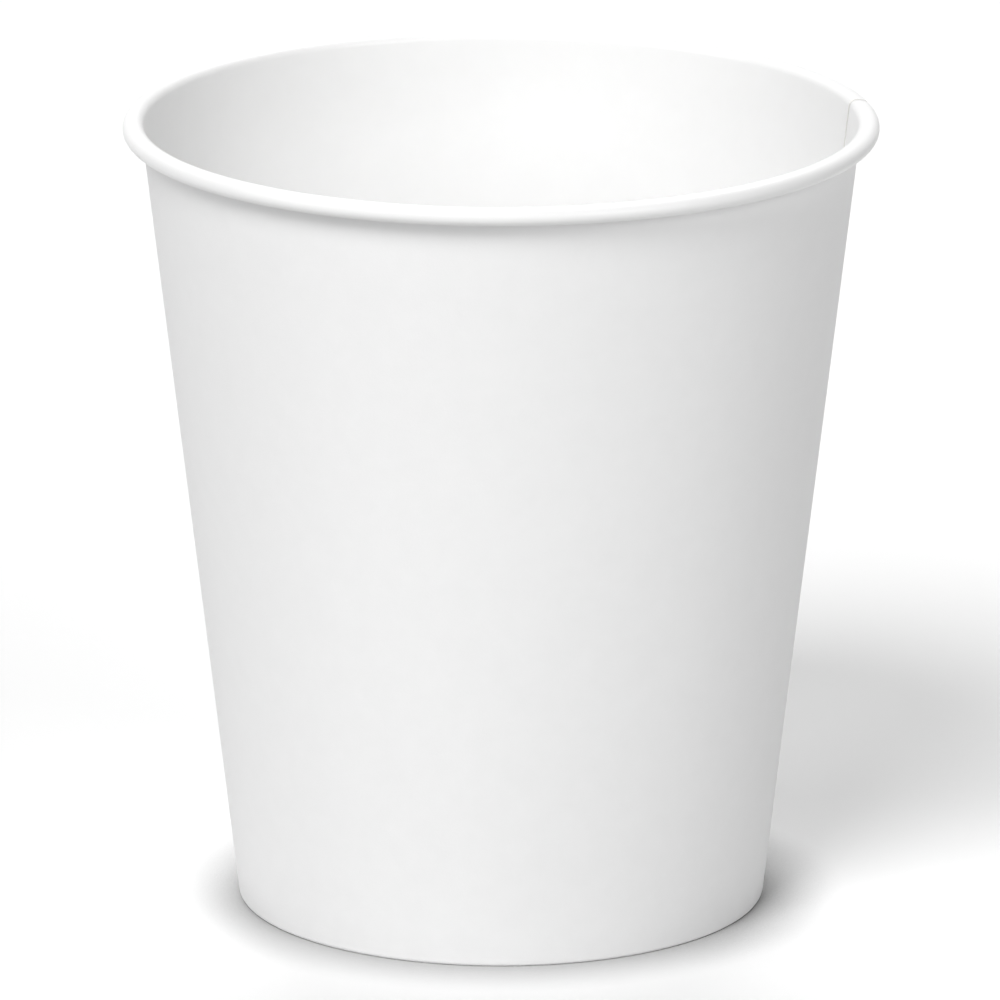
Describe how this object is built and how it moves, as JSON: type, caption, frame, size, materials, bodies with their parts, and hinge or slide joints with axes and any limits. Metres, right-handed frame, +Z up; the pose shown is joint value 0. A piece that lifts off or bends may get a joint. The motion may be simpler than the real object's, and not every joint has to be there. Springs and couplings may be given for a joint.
{
  "type": "paper cup",
  "caption": "Small plain white paper cup for coffee: tapered wall with a lap seam, rolled rim, folded foot and recessed bottom.",
  "frame": {"origin": "centre of the foot, on the plane that the cup stands on", "axes": "+Z up along the cup's axis towards the rolled rim; the lap seam lies 10 to 24 degrees from +X towards +Y; the picture looks along +Y"},
  "size_m": [0.0734, 0.0734, 0.0782],
  "materials": {
    "side_wall": "satin",
    "bottom": "satin"
  },
  "bodies": {
    "root": {"side_wall": "side_wall", "bottom": "bottom"}
  },
  "joints": []
}
